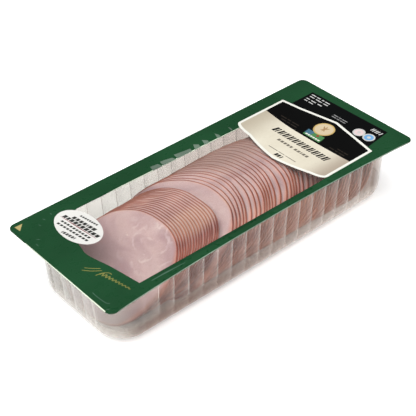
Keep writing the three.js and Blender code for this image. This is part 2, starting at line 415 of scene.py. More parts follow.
# %% The finish of the tray
def see_through_tint(tree, x, y):
    """The light that a wall lets through, with painted shade: less at the far side and at the right end.
    """
    to_far_side = between(tree, y, -0.035, 0.045)
    on_right_end = between(tree, x, 0.134, 0.146, 0.0, 0.8)
    tinted = calculate(tree, "MAXIMUM", to_far_side, on_right_end)
    to_label_end = between(tree, x, -0.08, 0.06)
    # Painted shade: the far wall gets darker, browner towards the label end, so that the glowing floor
    # behind it does not glare.
    far_shade_tint = mix_colours(tree, to_label_end, (0.785, 0.775, 0.752, 1), (0.7, 0.65, 0.62, 1))
    return mix_colours(tree, tinted, (0.93, 0.915, 0.9, 1), far_shade_tint)


def tray_finish():
    finish, tree, shader = new_finish("clear_tray_plastic")
    place = place_on_pack(tree)
    x, y, z = add(tree, "SeparateXYZ", {0: place}).outputs
    crease = stored(tree, "crease")
    ripples = noise(tree, place, 55.0, detail=3.0)
    streaks = noise(tree, place, 230.0, detail=2.0, distortion=0.6)
    normal = bump(tree, ripples, 0.0006, 0.3)
    haze, low_down = tray_haze(tree, x, z, crease, ripples)
    set_inputs(tree, shader, {
        "Base Color": haze_colour(tree, x, y, crease, streaks, low_down),
        "Roughness": between(tree, streaks, 0.3, 0.7, 0.18, 0.32),
        "Normal": normal,
    })
    clear = clear_sheet(tree, see_through_tint(tree, x, y), 0.12, normal, head_on=0.02)
    surface = add(tree, "MixShader", {0: haze, 1: clear, 2: shader.outputs[0]})
    set_inputs(tree, tree.nodes["Material Output"], {"Surface": surface.outputs[0]})
    return finish


clear_plastic = tray_finish()
print("nodes in the tray's finish:", len(clear_plastic.node_tree.nodes))

# %% [markdown]
# ## The tray
#
# The tray is one skin: up the outside of the wall, out under the flange, round its edge,
# back over it, and down the inside. Each level is a ring with the same number of points,
# so neighbouring rings join into a strip of faces, and a fan closes the floor. The walls
# lean in towards the floor, as they must, or the tray would not come off its mould.

# %% Work out the rings of the tray
TRAY_DEPTH = 56
TRAY_WALL = 0.5
MOUTH_LENGTH = 297.4
MOUTH_WIDTH = 110.2
MOUTH_CORNER_RADIUS = 28
MOUTH_SHIFT_X = 1.5
WALL_DRAFT = 0.061
FLOOR_FILLET = 12.3
FLUTE_DEPTH = 0.8
FOOT_STEPS = (0, 0.02, 0.06, 0.13, 0.22, 0.34, 0.5, 0.72, 1)
WALL_STEPS = 9


def tray_ring(height, inset):
    """The tray wall at a height: inset 0 is its outer face. Also crease, panel and foot."""
    fillet_radius = FLOOR_FILLET - inset
    below = max(0.0, fillet_radius - (height - inset))
    rounding = fillet_radius - math.sqrt(fillet_radius ** 2 - below ** 2)
    drawn_in = inset + (TRAY_DEPTH - height) * WALL_DRAFT + rounding
    upright = 1 - below / FLOOR_FILLET
    outline, creases, panels = rounded_outline(
        MOUTH_LENGTH - 2 * drawn_in,
        MOUTH_WIDTH - 2 * drawn_in,
        MOUTH_CORNER_RADIUS - drawn_in,
        shift_x=MOUTH_SHIFT_X,
        flute=FLUTE_DEPTH * upright,
    )
    ring = np.column_stack([outline, np.full(len(outline), height)])
    return ring, creases * upright, panels * upright, np.full(len(outline), 1 - upright)


def flange_ring(height, inset=0.0):
    outline, _, _ = rounded_outline(
        lid_length - 2 * inset,
        lid_width - 2 * inset,
        LID_CORNER_RADIUS - inset,
        bow=NEAR_SIDE_BOW,
    )
    nothing = np.zeros(len(outline))
    return np.column_stack([outline, np.full(len(outline), height)]), nothing, nothing, nothing


# %% Stack the rings into one skin
def tray_rings():
    flange_under = TRAY_DEPTH - TRAY_WALL
    edge_round = TRAY_WALL / 4
    outer = [tray_ring(t * FLOOR_FILLET, 0) for t in FOOT_STEPS]
    for step in range(1, WALL_STEPS + 1):
        height = FLOOR_FILLET + (flange_under - FLOOR_FILLET) * step / WALL_STEPS
        outer.append(tray_ring(height, 0))
    flange = [
        flange_ring(flange_under, edge_round),
        flange_ring(flange_under + edge_round),
        flange_ring(TRAY_DEPTH - edge_round),
        flange_ring(TRAY_DEPTH, edge_round),
    ]
    inner = [tray_ring(TRAY_WALL + t * (FLOOR_FILLET - TRAY_WALL), TRAY_WALL) for t in FOOT_STEPS]
    for step in range(1, WALL_STEPS + 1):
        height = FLOOR_FILLET + (TRAY_DEPTH - FLOOR_FILLET) * step / WALL_STEPS
        inner.append(tray_ring(height, TRAY_WALL))
    return outer + flange + inner[::-1]


# %% Build the tray
def build_tray():
    rings = tray_rings()
    count = len(rings[0][0])
    points = np.vstack([ring[0] for ring in rings])
    crease, panel, foot = (np.concatenate([ring[k] for ring in rings]) for k in (1, 2, 3))
    faces = []
    for ring in range(len(rings) - 1):
        for step in range(count):
            a = ring * count + step
            b = ring * count + (step + 1) % count
            faces.append((a, b, b + count, a + count))
    for ring in (0, len(rings) - 1):
        hub = len(points)
        points = np.vstack([points, [MOUTH_SHIFT_X, 0, rings[ring][0][0, 2]]])
        for step in range(count):
            a = ring * count + step
            b = ring * count + (step + 1) % count
            faces.append((b, a, hub) if ring == 0 else (a, b, hub))
    tray = make_piece("clear_fluted_tray", points, faces, [clear_plastic], sharp_above=50)
    store(tray, "crease", np.concatenate([crease, [0, 0]]))
    store(tray, "panel", np.concatenate([panel, [0, 0]]))
    store(tray, "foot", np.concatenate([foot, [1, 1]]))
    stands_for(tray, "tray")
    return tray


tray = build_tray()
print("tray faces:", len(tray.data.polygons))

# %% [markdown]
# ## Ham
#
# Cooked ham is pressed from a few large muscles. A slice shows them as broad soft fields of
# pink and of greyer mauve, with faint pale arcs round the middle muscle, small flecks of
# fat and a fine wet grain, and with painted shade that turns it mauve towards the toe. The
# smoked outside leaves a thin dark brown rim, and the meat is flushed brown for a few
# millimetres inside it. The dark band at the rim is partly that smoke and partly painted
# shade of the gap under the next slice. A pale peach patch is a painted highlight, and
# painted shade darkens the far side of the log and browns the side that lies against the
# near wall. All slices come from one log, so the pattern is taken from one solid block of
# noise, and each slice reads it at its own depth. Neighbours then look alike, as they do in
# a real pack.

# %% The pattern of the meat
MUSCLE_MIDDLE = (-0.0105, 0.018, 0.0)  # across the slice, along it, and into the log


def distance_to(tree, place, centre):
    """How far a point is from a centre, both in metres in the log."""
    return add(tree, "VectorMath", {0: place, 1: centre}, operation="DISTANCE").outputs["Value"]


def muscle_colour(tree, place, grain):
    """Two soft pinks, painted shade of mauve towards the toe, pale arcs round a muscle, flecks and grain.
    """
    fields = noise(tree, place, 24.0, detail=2.0, distortion=1.2)
    meat = mix_colours(
        tree, between(tree, fields, 0.38, 0.64), ink(195, 168, 166), ink(171, 142, 144)
    )
    # Painted shade: the meat turns mauve towards the toe, deep down in the pack.
    log = add(tree, "SeparateXYZ", {0: place})
    slanted = calculate(tree, "MULTIPLY", log.outputs[0], 0.4)
    toe_shade = between(tree, calculate(tree, "ADD", log.outputs[1], slanted), 0.026, 0.052)
    meat = mix_colours(tree, calculate(tree, "MULTIPLY", toe_shade, 0.7), meat, ink(158, 130, 134))
    centred = add(tree, "VectorMath", {0: place, 1: MUSCLE_MIDDLE}, operation="SUBTRACT")
    rings = {"Vector": centred.outputs[0], "Scale": 32.0, "Distortion": 9.0, "Detail": 4.0}
    rings["Detail Scale"] = 2.2
    arcs = add(tree, "TexWave", rings, wave_type="RINGS", rings_direction="Z").outputs["Fac"]
    arcs = between(tree, arcs, 0.62, 1.0, 0.0, 0.44)
    broken = between(tree, noise(tree, place, 70.0), 0.42, 0.62)
    near_middle = between(tree, distance_to(tree, place, MUSCLE_MIDDLE), 0.014, 0.034, 1.0, 0.1)
    arcs = calculate(tree, "MULTIPLY", arcs, calculate(tree, "MULTIPLY", broken, near_middle))
    meat = mix_colours(tree, arcs, meat, ink(222, 204, 202))

    flecks = {"Vector": place, "Scale": 260.0, "Randomness": 1.0}
    fleck = add(tree, "TexVoronoi", flecks, feature="F1").outputs["Distance"]
    few = between(tree, noise(tree, place, 130.0), 0.64, 0.72)
    fleck_here = calculate(tree, "MULTIPLY", between(tree, fleck, 0.12, 0.3, 0.7, 0.0), few)
    meat = mix_colours(tree, fleck_here, meat, ink(232, 214, 204))
    meat = mix_colours(tree, between(tree, grain, 0.3, 0.8, 0.0, 0.14), meat, ink(146, 106, 102))
    return meat, arcs


# %% The smoked outside of the meat
# Middle of a pale peach patch in the tight group: a painted highlight.
HIGHLIGHT_MIDDLE = (-0.020, 0.004, 0.012)
BROWN_MIDDLE = (-0.030, 0.012, 0.038)


def rim_colours(tree, place, patches, across, depth):
    """The flush inside the rim, and the smoked rim, which also paints the shade of the gap under the next
    slice: greyer at the far side, paler in a painted highlight.
    """
    to_far_side = between(tree, across, -0.034, 0.004)
    # A painted highlight: a soft pale patch on the tight group's rims.
    highlight_patch = between(tree, distance_to(tree, place, HIGHLIGHT_MIDDLE), 0.006, 0.017, 0.75, 0.0)
    browned = between(tree, distance_to(tree, place, BROWN_MIDDLE), 0.006, 0.018, 0.7, 0.0)

    flushed = mix_colours(tree, patches, ink(164, 92, 74), ink(212, 146, 126))
    in_tight_group = between(tree, depth, 0.026, 0.02, 0.0, 0.32)
    flushed = mix_colours(tree, in_tight_group, flushed, ink(156, 74, 58))
    far_flush = mix_colours(tree, patches, ink(190, 149, 140), ink(216, 178, 166))
    flushed = mix_colours(tree, to_far_side, flushed, far_flush)
    flushed = mix_colours(tree, highlight_patch, flushed, ink(226, 190, 164))
    flushed = mix_colours(tree, browned, flushed, ink(190, 120, 86))

    # The smoked colour is also painted shade: on the face it stands for the gap under the next slice.
    smoked = mix_colours(tree, patches, ink(94, 30, 20), ink(132, 60, 42))
    far_smoked = mix_colours(tree, patches, ink(132, 78, 64), ink(164, 106, 88))
    smoked = mix_colours(tree, to_far_side, smoked, far_smoked)
    smoked = mix_colours(tree, highlight_patch, smoked, ink(170, 114, 88))
    smoked = mix_colours(tree, browned, smoked, ink(134, 66, 40))
    return flushed, smoked


def painted_shade_at_the_sides(tree, colour, patches, across, depth):
    """Painted shade: duskier on the far side of the log, and browner along the side that lies against the
    near wall.
    """
    # Painted shade on the far side of the loose slices.
    far_side_shade = between(tree, across, -0.008, 0.024, 0.0, 0.66)
    far_side_shade = calculate(tree, "MULTIPLY", far_side_shade, between(tree, depth, 0.024, 0.034))
    colour = mix_colours(tree, far_side_shade, colour, ink(138, 110, 100))
    # Painted shade along the near wall, under the flange and the green print; paler and more orange in
    # the deeper slices.
    wall_side_shade = mix_colours(tree, patches, ink(104, 60, 50), ink(150, 98, 80))
    paler = between(tree, depth, 0.02, 0.06, 0.0, 0.6)
    wall_side_shade = mix_colours(tree, paler, wall_side_shade, ink(186, 122, 80))
    return mix_colours(tree, between(tree, across, -0.041, -0.046, 0.0, 0.78), colour, wall_side_shade)


# %% The finish of the ham
def ham_finish():
    finish, tree, shader = new_finish("moist_smoked_ham")
    place = stored(tree, "place_in_log", "Vector")
    across, _, depth = add(tree, "SeparateXYZ", {0: place}).outputs
    grain = noise(tree, place, 700.0, detail=3.0)
    patches = between(tree, noise(tree, place, 42.0, detail=3.0), 0.36, 0.64)

    meat, arcs = muscle_colour(tree, place, grain)
    flushed, smoked = rim_colours(tree, place, patches, across, depth)
    near_rim = between(tree, stored(tree, "near_rim"), 0.0, 1.0, 0.0, 0.8)
    colour = mix_colours(tree, near_rim, meat, flushed)
    colour = mix_colours(tree, stored(tree, "rim"), colour, smoked)
    colour = painted_shade_at_the_sides(tree, colour, patches, across, depth)

    wet_grain = calculate(tree, "MULTIPLY", grain, 0.3)
    height = calculate(tree, "ADD", wet_grain, calculate(tree, "MULTIPLY", arcs, 0.6))
    set_inputs(tree, shader, {
        "Base Color": colour,
        "Roughness": between(tree, grain, 0.3, 0.7, 0.38, 0.56),
        "Normal": bump(tree, height, 0.0002, 0.5),
        "Specular IOR Level": 0.2,
        "Subsurface Weight": 0.1,
        "Subsurface Radius": (0.003, 0.0013, 0.0009),
        "Subsurface Scale": 1.0,
    })
    return finish


ham = ham_finish()
print("nodes in the ham's finish:", len(ham.node_tree.nodes))

# %% [markdown]
# ## Where the slices lie
#
# Sixteen slices stand close together at the left, then the machine left a step, and the
# other thirty-eight follow a little further apart. Each slice leans back on the next one,
# and it is bent a little, because it is soft. The last ones curl up against the end wall.
# Every slice lies a little lower at its near side, where its foot spreads on the tray's
# floor. The plan below gives the place of a slice's top edge, its lean at the top edge and
# at the toe, and how full its quarters are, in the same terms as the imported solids.

# %% The steps and sizes of the slices
SLICE_COUNT = 54
TIGHT_SLICES = 16
TIGHT_SIZE = {"length": 90, "width": 94, "centre_y": 2, "roll": 0.06, "yaw": 0.06}
LOOSE_SIZE = {"length": 94, "width": 100.4, "centre_y": 0.7, "roll": 0.08, "yaw": 0.05}
TIGHT_LEAN = {"top": (39, 37), "toe": (28, 29)}  # first and last slice, in degrees
LOOSE_LEAN = {"top": (27, 52), "toe": (37, 15)}
FIRST_CROWN_X = -63.3
TIGHT_PITCH = 2.57
GROUP_STEP = 16.6
BARE_STEPS = (4, 5, 4.6, 3, 5, 3.6, 2.8, 4.8, 3.8, 4, 3.8, 2.8, 4.7, 5.5, 4)
COVERED_PITCH = 4.15
THICKEST_SLICE = 2
FILLED_SHARE = 0.8  # of the room up to the next slice
AIR_MARGIN = 0.2
RANDOM_SEED = 7
RANDOM_FACTOR = 16807
RANDOM_SPAN = 2147483647

# How full a quarter of a slice is: 1 is a circle, less is fuller. The two upper quarters
# swing from slice to slice: mean, swing, period in slices, and the fullest slice.
TIGHT_SHOULDERS = {"near": (0.65, 0.05, 30, 15), "far": (1, 0.05, 30, 15)}
LOOSE_SHOULDERS = {"near": (0.93, 0.16, 7.4, 16), "far": (0.9, 0.25, 28, 30.5)}
TIGHT_FOOT = (0.45, 0.45)  # the lower near quarter, for the first and the last slice
LOOSE_FOOT = (0.35, 0.8)


# %% Helpers for the plan
def even_random(seed):
    """Numbers from 0 to 1 that are the same on every run."""
    state = seed
    while True:
        state = state * RANDOM_FACTOR % RANDOM_SPAN
        yield state / RANDOM_SPAN


def step_to(index):
    """How far a slice's top edge lies behind the one before."""
    if index == 0:
        return 0
    if index < TIGHT_SLICES:
        return TIGHT_PITCH
    if index == TIGHT_SLICES:
        return GROUP_STEP
    bare = index - TIGHT_SLICES - 1
    return BARE_STEPS[bare] if bare < len(BARE_STEPS) else COVERED_PITCH


def shoulder_at(index, mean, swing, period, fullest):
    return mean - swing * math.cos(2 * math.pi * (index - fullest) / period)


def part_way(first_and_last, share):
    first, last = first_and_last
    return first + (last - first) * share


def thickness_for(step, lean):
    """Soft slices fill the room up to the next one, but for a little air."""
    room = step * math.sin(math.radians(lean))
    return min(THICKEST_SLICE, FILLED_SHARE * room - AIR_MARGIN)


# %% Plan every slice
def slice_plans():
    plans = []
    draws = even_random(RANDOM_SEED)
    crown_x = FIRST_CROWN_X
    for index in range(SLICE_COUNT):
        tight = index < TIGHT_SLICES
        if tight:
            share = index / (TIGHT_SLICES - 1)
        else:
            share = (index - TIGHT_SLICES) / (SLICE_COUNT - 1 - TIGHT_SLICES)
        lean = TIGHT_LEAN if tight else LOOSE_LEAN
        lean_share = share if tight else share ** 2  # only the last slices climb the end wall
        shoulders = TIGHT_SHOULDERS if tight else LOOSE_SHOULDERS
        lean_top = part_way(lean["top"], lean_share)
        lean_toe = part_way(lean["toe"], lean_share)
        crown_x += step_to(index)
        plans.append({
            "index": index,
            "crown_x": crown_x,
            "size": TIGHT_SIZE if tight else LOOSE_SIZE,
            "lean_top": lean_top,
            "lean_toe": lean_toe,
            "thickness": [thickness_for(step_to(index + 1), at) for at in (lean_top, lean_toe)],
            "near_shoulder": shoulder_at(index, *shoulders["near"]),
            "far_shoulder": shoulder_at(index, *shoulders["far"]),
            "near_foot": part_way(TIGHT_FOOT if tight else LOOSE_FOOT, share),
            "phases": [2 * math.pi * next(draws) for _ in range(3)],
        })
    return plans


plans = slice_plans()
print("last slice's top edge at x =", round(plans[-1]["crown_x"], 2))

# %% [markdown]
# ## The slices
#
# A slice is drawn flat first, as rings round its middle, and then bent: each point is
# carried along a curve that starts at the top edge and slowly changes its lean. A slice
# fills most of the room up to the next one, so it is thicker where it stands steeply. The
# rim is rounded, as a knife leaves soft meat. All faces share one slow swell, so that
# neighbours nest like real slices and never cut through each other.

# %% Draw a slice flat
EDGE_UNEVENNESS = 0.004  # share of the radius, for each of three slow ripples
KNIFE_MARKS = 13  # fine nibbles round the edge
KNIFE_MARK_DEPTH = 0.002  # share of the radius


def edge_of_slice(plan, around):
    """Where the edge is, along the slice and across it, from the middle, in mm."""
    size = plan["size"]
    ripple = sum(np.cos(w * around + p) for w, p in zip((2, 3, 5), plan["phases"]))
    upper = np.abs(around) < math.pi / 2
    near_side = np.where(upper, plan["near_shoulder"], plan["near_foot"])
    far_side = np.where(upper, plan["far_shoulder"], 1.0)
    share = np.abs(np.sin(around)) ** np.where(around < 0, near_side, far_side)
    across = size["width"] / 2 * np.sign(around) * share * (1 + EDGE_UNEVENNESS * ripple)
    along = -size["length"] / 2 * np.cos(around)
    marks = np.sin(KNIFE_MARKS * around + plan["phases"][0] * 3)
    nibble = 1 - KNIFE_MARK_DEPTH * (1 + marks)
    return along * nibble, across * nibble


# %% Bend a slice
CROWN_DROP = 2  # from the top of the film to the start of the line a slice is bent along
SWELL_HEIGHT = 0.25


def bend_slice(plan, along, across, off):
    """Carry a flat slice's points into the pack. along runs from the top edge to the toe."""
    size = plan["size"]
    lean_top = math.radians(plan["lean_top"])
    turn_rate = (math.radians(plan["lean_toe"]) - lean_top) / size["length"]
    lean = lean_top + turn_rate * along
    x = plan["crown_x"] - (np.sin(lean) - math.sin(lean_top)) / turn_rate
    z = film_top - CROWN_DROP - (math.cos(lean_top) - np.cos(lean)) / turn_rate
    x = x - size["yaw"] * across
    wide = np.sqrt(np.clip(1 - (1 - 2 * along / size["length"]) ** 2, 0, 1))
    z = z + size["roll"] * wide * across
    swell = SWELL_HEIGHT * np.sin(across / 15 + 0.7) * np.sin(along / 21 + 0.4)
    off = off + swell
    y = size["centre_y"] + across
    return np.column_stack([x - np.sin(lean) * off, y, z + np.cos(lean) * off])


# %% Lay out the points of a slice
EDGE_POINTS = 132
RING_SHARES = (0.12, 0.3, 0.5, 0.66, 0.8, 0.9, 0.95)  # of the way from middle to rim
# The smoked band runs about a millimetre into the face: partly the real smoked rim, partly painted shade
# of the gap under the next slice.
RIM_PROFILE = (  # mm in from the edge, share of the way from face to back, how smoked
    (1.1, 0.0, 0.0),
    (0.7, 0.0, 1.0),
    (0.3, 0.0, 1.0),
    (0.1, 0.06, 0.8),
    (0.0, 0.25, 0.5),
    (0.0, 0.75, 0.5),
    (0.1, 0.94, 0.9),
    (0.5, 1.0, 1.0),
    (1.3, 1.0, 0.3),
)
FACE_LIFT = 0.45  # from the line that a slice is bent along up to its face
LOG_STEP = 1.4  # how much deeper in the log each slice was cut
NEAR_RIM_BAND = 3.0  # how far in the meat is flushed, in mm
WALL_SIDE_BAND = 7.0  # the same on the side that lies against the near wall
WALL_SIDE_START = 34  # how far across from the middle the band starts to widen
WALL_SIDE_FADE = 10


def slice_faces(ring_count):
    """Faces between neighbouring rings, and a fan over the middle of the face and the back."""
    faces = []
    for ring in range(ring_count - 1):
        for step in range(EDGE_POINTS):
            a = ring * EDGE_POINTS + step
            b = ring * EDGE_POINTS + (step + 1) % EDGE_POINTS
            faces.append((a, a + EDGE_POINTS, b + EDGE_POINTS, b))
    front_hub = ring_count * EDGE_POINTS
    last_ring = (ring_count - 1) * EDGE_POINTS
    for step in range(EDGE_POINTS):
        following = (step + 1) % EDGE_POINTS
        faces.append((front_hub, step, following))
        faces.append((front_hub + 1, last_ring + following, last_ring + step))
    return faces


# %% Build the slices
def build_slice(plan, finish):
    size = plan["size"]
    around = -math.pi + 2 * math.pi * (np.arange(EDGE_POINTS) + 0.5) / EDGE_POINTS
    edge_along, edge_across = edge_of_slice(plan, around)
    radius = np.hypot(edge_along, edge_across)
    by_wall = np.clip((-edge_across - WALL_SIDE_START) / WALL_SIDE_FADE, 0, 1)
    band = part_way((NEAR_RIM_BAND, WALL_SIDE_BAND), by_wall)

    rings = []  # share of the radius, share of the way from face to back, how smoked
    for share in RING_SHARES:
        rings.append((np.full(EDGE_POINTS, share), 0.0, 0.0))
    for inward, depth, smoked in RIM_PROFILE:
        rings.append((1 - inward / radius, depth, smoked))
    for share in RING_SHARES[::-1]:
        rings.append((np.full(EDGE_POINTS, share), 1.0, 0.0))

    points = []
    place = []
    rim = []
    near_rim = []
    log_depth = plan["index"] * LOG_STEP + FACE_LIFT
    for share, depth, on_rim in rings:
        along = size["length"] / 2 + edge_along * share
        across = edge_across * share
        thickness = part_way(plan["thickness"], along / size["length"])
        points.append(bend_slice(plan, along, across, FACE_LIFT - thickness * depth))
        place.append(np.column_stack([across, along, log_depth - thickness * depth]))
        rim.append(np.full(EDGE_POINTS, on_rim))
        near_rim.append(np.clip(1 - radius * (1 - share) / band, 0, 1))
    middle_along = size["length"] / 2
    for back in (0, part_way(plan["thickness"], 0.5)):
        points.append(bend_slice(plan, np.array([middle_along]), np.array([0.0]), FACE_LIFT - back))
        place.append([[0, middle_along, log_depth - back]])
        rim.append([0.0])
        near_rim.append([0.0])

    faces = slice_faces(len(rings))
    number = f"{plan['index'] + 1:02d}"
    piece = make_piece(f"sliced_ham_{number}", np.vstack(points), faces, [finish], sharp_above=80)
    store(piece, "place_in_log", np.vstack(place) * MM)
    store(piece, "rim", np.concatenate(rim))
    store(piece, "near_rim", np.concatenate(near_rim))
    stands_for(piece, f"ham_slice_{number}")
    return piece


slices = [build_slice(plan, ham) for plan in plans]
print("slices:", len(slices), "with", len(slices[0].data.polygons), "faces each")

# %% [markdown]
# ## Print without a picture
#
# Film and labels are flat sheets with fields of solid ink. A picture would be the usual way
# to show them, but a picture blurs close up. Here every field is a shape, and the sheet is
# cut along all the shapes at once by a Delaunay triangulation, a method that fills an
# outline with triangles and keeps every given line as an edge. Each triangle then takes
# the ink of the topmost shape it lies in. The sheet stays one closed solid.

# %% Cut a sheet into fields of ink
GRID_STEP = 5.0  # between the extra points that keep the triangles small
KEEP_INSIDE = 1  # the triangulation's own number for leaving out what lies in no shape
SAME_POINT = 1e-4  # points closer than this are one


def anticlockwise(shape):
    """The triangulation takes the left of a line as its inside, so every shape runs this way."""
    x, y = shape[:, 0], shape[:, 1]
    doubled_area = np.sum(x * np.roll(y, -1) - np.roll(x, -1) * y)
    return shape if doubled_area > 0 else shape[::-1]


def cut_along_shapes(outline, prints):
    """The flat sheet's points and triangles, and the shapes that each triangle lies in."""
    flat = []
    shapes = []
    for _, shape in prints:
        shape = anticlockwise(shape)
        shapes.append(list(range(len(flat), len(flat) + len(shape))))
        flat.extend(Vector((float(x), float(y))) for x, y in shape)
    low, high = outline.min(axis=0), outline.max(axis=0)
    for x in np.arange(low[0] + GRID_STEP / 2, high[0], GRID_STEP):
        for y in np.arange(low[1] + GRID_STEP / 2, high[1], GRID_STEP):
            flat.append(Vector((float(x), float(y))))
    cut = delaunay_2d_cdt(flat, [], shapes, KEEP_INSIDE, SAME_POINT)
    cut_points, _, cut_faces, _, _, shapes_of_face = cut
    used = sorted({corner for face in cut_faces for corner in face})
    renumber = {old: new for new, old in enumerate(used)}
    plane = np.array([cut_points[old][:] for old in used])
    triangles = [[renumber[corner] for corner in face] for face in cut_faces]
    return plane, triangles, shapes_of_face


# %% Make the cut sheet a thin solid
def printed_sheet(name, outline, prints, thickness, top, sag=None):
    """A thin solid with a field of ink for each shape. Later prints lie over earlier ones."""
    finishes = []
    for finish, _ in prints:
        if finish not in finishes:
            finishes.append(finish)
    plane, triangles, shapes_of_triangle = cut_along_shapes(outline, prints)
    drop = sag(plane[:, 0], plane[:, 1]) if sag else np.zeros(len(plane))
    upper = np.column_stack([plane, top - drop])
    lower = np.column_stack([plane, top - thickness - drop])
    count = len(plane)

    faces = []
    ink_of_face = []
    borders = {}
    for corners, inside in zip(triangles, shapes_of_triangle):
        if not inside:
            continue
        a, b, c = (plane[corner] for corner in corners)
        turning = (b[0] - a[0]) * (c[1] - a[1]) - (b[1] - a[1]) * (c[0] - a[0])
        if turning < 0:
            corners.reverse()
        number = finishes.index(prints[max(inside)][0])
        faces.append(tuple(corners))
        faces.append(tuple(corner + count for corner in reversed(corners)))
        ink_of_face.extend([number, number])
        for start, end in zip(corners, corners[1:] + corners[:1]):
            if (end, start) in borders:
                del borders[end, start]
            else:
                borders[start, end] = number
    for (start, end), number in borders.items():
        faces.append((start, start + count, end + count, end))
        ink_of_face.append(number)
    points = np.vstack([upper, lower])
    return make_piece(name, points, faces, finishes, ink_of_face)


# %% [markdown]
# ## Inks
#
# Printed colour is never quite even: the ink lies a little thicker here and there, and the
# film over it has faint ripples that catch the light. One recipe makes them all, with the
# colour, its unevenness and its gloss set for each ink. The mirror strength is kept low,
# because a glossy dark print under studio lamps otherwise looks grey.

# %% The recipe for an ink
def printed_ink(name, colour, unevenness=0.08, roughness=0.3, shine=0.12):
    finish, tree, shader = new_finish(name)
    place = place_on_pack(tree)
    patches = noise(tree, place, 14.0, detail=3.0)
    fine = noise(tree, place, 160.0, detail=2.0)
    base = ink(*colour)
    darker = tuple(channel * (1 - unevenness) for channel in base[:3]) + (1,)
    lighter = tuple(min(1, channel * (1 + unevenness)) for channel in base[:3]) + (1,)
    uneven = mix_colours(tree, between(tree, patches, 0.35, 0.65), darker, lighter)
    speckled = mix_colours(tree, between(tree, fine, 0.4, 0.9, 0.0, 0.3), uneven, darker)
    set_inputs(tree, shader, {
        "Base Color": speckled,
        "Roughness": between(tree, fine, 0.3, 0.7, roughness - 0.05, roughness + 0.08),
        "Normal": bump(tree, fine, 0.0001, 0.15),
        "Specular IOR Level": shine,
    })
    return finish


def window_finish():
    """Clear film: hardly any haze, and the mirror share of a thin sheet."""
    finish, tree, shader = new_finish("clear_film_window")
    ripples = noise(tree, place_on_pack(tree), 30.0, detail=2.0)
    normal = bump(tree, ripples, 0.0008, 0.4)
    set_inputs(tree, shader, {
        "Base Color": ink(235, 236, 232),
        "Roughness": between(tree, ripples, 0.3, 0.7, 0.12, 0.25),
        "Normal": normal,
    })
    clear = clear_sheet(tree, (0.985, 0.985, 0.98, 1), 0.1, normal, head_on=0.03)
    haze = between(tree, ripples, 0.3, 0.7, 0.0, 0.012)
    surface = add(tree, "MixShader", {0: haze, 1: clear, 2: shader.outputs[0]})
    set_inputs(tree, tree.nodes["Material Output"], {"Surface": surface.outputs[0]})
    return finish


# %% Mix the inks of the film
green = printed_ink("green_print", (25, 64, 38), unevenness=0.12)
panel_black = printed_ink("black_print", (9, 10, 11), shine=0.05)
clear_window = window_finish()
pale_edge_and_highlight = printed_ink("bare_film_edge_and_highlight", (214, 226, 204), roughness=0.25)
crease_grey = printed_ink("pressed_crease", (70, 98, 82), unevenness=0.3)
crease_dark = printed_ink("crease_shadow", (18, 44, 28), unevenness=0.2)
near_edge_highlight = printed_ink("near_lid_edge_highlight", (150, 166, 152), unevenness=0.2)
flute_reflection_ink = printed_ink("flute_reflection", (92, 108, 95), unevenness=0.25)
gold = printed_ink("gold_print", (168, 152, 102), unevenness=0.2, shine=0.4)
dull_gold = printed_ink("dull_gold_print", (112, 112, 58), unevenness=0.3, shine=0.4)
white_print = printed_ink("white_print", (184, 184, 182))
grey_print = printed_ink("grey_print", (128, 128, 128))
badge_pink = printed_ink("badge_pink", (208, 188, 188))
badge_blue = printed_ink("badge_blue", (104, 152, 194))
print("nodes in one ink:", len(green.node_tree.nodes))

# %% [markdown]
# ## Shapes to print
#
# A few helpers draw the shapes: discs, strips along a line, and rows of short slanted bars.
# A row of bars has the look of a line of print and says nothing. The rows run across the
# pack, from the far side to the near side, with their tops towards the label end.

# %% Helpers that draw flat shapes
def disc(centre, radius, points=40, stretch=1.0):
    """A round outline. A stretch above 1 makes it an oval that is long across the pack."""
    around = 2 * math.pi * np.arange(points) / points
    x = centre[0] + radius * np.cos(around)
    y = centre[1] + radius * stretch * np.sin(around)
    return np.column_stack([x, y])


def strip(line, width):
    """A narrow band along a line, pointed at both ends."""
    line = np.array(line, dtype=float)
    way = np.gradient(line, axis=0)
    way /= np.linalg.norm(way, axis=1)[:, None]
    sideways = np.column_stack([-way[:, 1], way[:, 0]])
    half = np.full(len(line), width / 2)
    half[[0, -1]] = width / 6
    left = line + sideways * half[:, None]
    right_side = line - sideways * half[:, None]
    return np.vstack([right_side, left[::-1]])


# %% Helpers that draw rows of bars and smooth curves
def row_of_bars(start, end, height, shares, slant=0.25):
    """Slanted bars from start to end. shares are bar, gap, bar, gap ... in any unit."""
    start, end = np.array(start, dtype=float), np.array(end, dtype=float)
    length = np.linalg.norm(end - start)
    way = (end - start) / length
    rise = np.array([-way[1], way[0]]) * height + way * height * slant
    scale = length / sum(shares)
    bars = []
    reached = 0.0
    for number, share in enumerate(shares):
        if number % 2 == 0:
            first = start + way * reached - rise / 2
            last = first + way * share * scale
            bars.append(np.array([first, last, last + rise, first + rise]))
        reached += share * scale
    return bars


def smooth_line(points, steps=8):
    """A smooth curve through a few points (Catmull-Rom)."""
    points = np.array(points, dtype=float)
    padded = np.vstack([2 * points[0] - points[1], points, 2 * points[-1] - points[-2]])
    curve = []
    for before, start, end, after in zip(padded, padded[1:], padded[2:], padded[3:]):
        for step in range(steps):
            t = step / steps
            curve.append(0.5 * (
                2 * start
                + (end - before) * t
                + (2 * before - 5 * start + 4 * end - after) * t ** 2
                + (3 * start - before - 3 * end + after) * t ** 3
            ))
    curve.append(points[-1])
    return np.array(curve)


# %% [markdown]
# ## The film's print
#
# The film is green with a clear window. At the label end a black panel carries small white
# rows and two round badges, and the left border has a gold triangle in its corner and a
# gold flourish. The near border has a pressed crease. A painted highlight runs along the
# window's far edge and along the lid's near edge, and the far border shows pale patches,
# painted reflections of the tray's flutes under the film.

